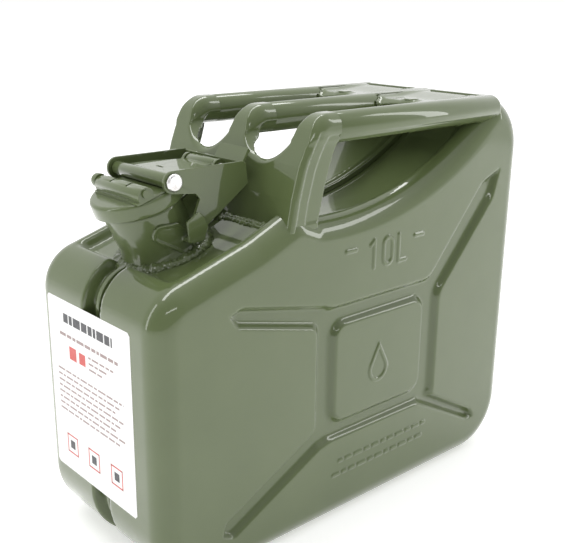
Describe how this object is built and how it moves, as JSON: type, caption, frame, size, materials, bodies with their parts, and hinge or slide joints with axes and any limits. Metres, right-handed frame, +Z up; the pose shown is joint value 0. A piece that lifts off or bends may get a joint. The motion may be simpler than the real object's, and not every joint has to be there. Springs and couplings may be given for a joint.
{
  "type": "jerry can",
  "caption": "Flat steel jerry can with pressed sides, handle tubes in a row on a bracket, and a slanted neck closed by a hinged cam-lever cap with a locking pin.",
  "frame": {"origin": "centre of the base, on the floor", "axes": "+X towards the rear of the can (the neck is at -X), +Y across the can to its far side, +Z up"},
  "size_m": [0.3452, 0.145, 0.293],
  "materials": {
    "olive_paint": "glossy olive green enamel over pressed steel",
    "zinc_steel": "zinc plated steel, lightly scuffed",
    "black_rubber": "matt black",
    "label_film": "smooth white printed film"
  },
  "bodies": {
    "can": {"shell_near": "olive_paint", "shell_far": "olive_paint", "seam_strip": "olive_paint", "neck": "olive_paint", "mouth_collar": "olive_paint", "neck_weld": "olive_paint", "breather_tube": "zinc_steel", "latch_near": "olive_paint", "latch_far": "olive_paint", "hinge_bracket": "olive_paint", "hinge_pin": "zinc_steel", "handle_bracket": "olive_paint", "handle_tube_near": "olive_paint", "handle_tube_middle": "olive_paint", "handle_tube_far": "olive_paint", "rear_bridge_near": "olive_paint", "rear_bridge_far": "olive_paint", "bridge_buttons": "olive_paint", "bracket_weld": "olive_paint", "data_label": "label_film"},
    "cap": {"cap_cover": "olive_paint", "gasket": "black_rubber", "gasket_retainer": "zinc_steel", "cap_rivet": "zinc_steel", "cap_strap": "olive_paint", "pin_sleeve": "olive_paint", "lever_pin": "zinc_steel"},
    "lever": {"lever": "olive_paint"},
    "locking_pin": {"locking_pin": "olive_paint"}
  },
  "joints": [
    {"name": "cap_hinge", "type": "hinge", "parent": "can", "child": "cap", "pos_m": [-0.084, 0, 0.2576], "axis": [0, 1, 0], "range_deg": [0, 80]},
    {"name": "lever_hinge", "type": "hinge", "parent": "cap", "child": "lever", "pos_m": [-0.1304, 0, 0.2556], "axis": [0, -1, 0], "range_deg": [0, 75]},
    {"name": "pin_slide", "type": "slide", "parent": "cap", "child": "locking_pin", "axis": [0, 1, 0], "range_m": [0, 0.02]}
  ]
}
